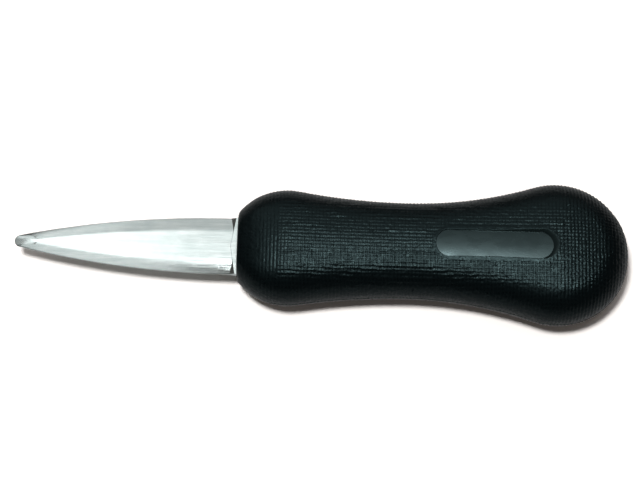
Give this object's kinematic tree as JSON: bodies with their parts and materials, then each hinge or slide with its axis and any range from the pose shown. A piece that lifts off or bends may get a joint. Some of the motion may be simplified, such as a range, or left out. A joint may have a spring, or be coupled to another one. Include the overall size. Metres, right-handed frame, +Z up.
{
  "type": "oyster knife",
  "caption": "Short, stiff, blunt-tipped double-bevelled blade fixed in a waisted moulded handle with a round butt, for prying shellfish open.",
  "frame": {"origin": "under the middle of the knife's overall length, at the level it lies on", "axes": "+X along the knife from the blade's tip towards the butt, +Y across the blade, +Z up through the label side"},
  "size_m": [0.1914, 0.0452, 0.0248],
  "materials": {
    "blade_steel": "ground and brushed stainless steel with soft satin bevels",
    "handle_plastic": "semi-gloss black plastic with a fine moulded grid of grip ribs"
  },
  "bodies": {
    "root": {"blade": "blade_steel", "handle": "handle_plastic"}
  },
  "joints": []
}
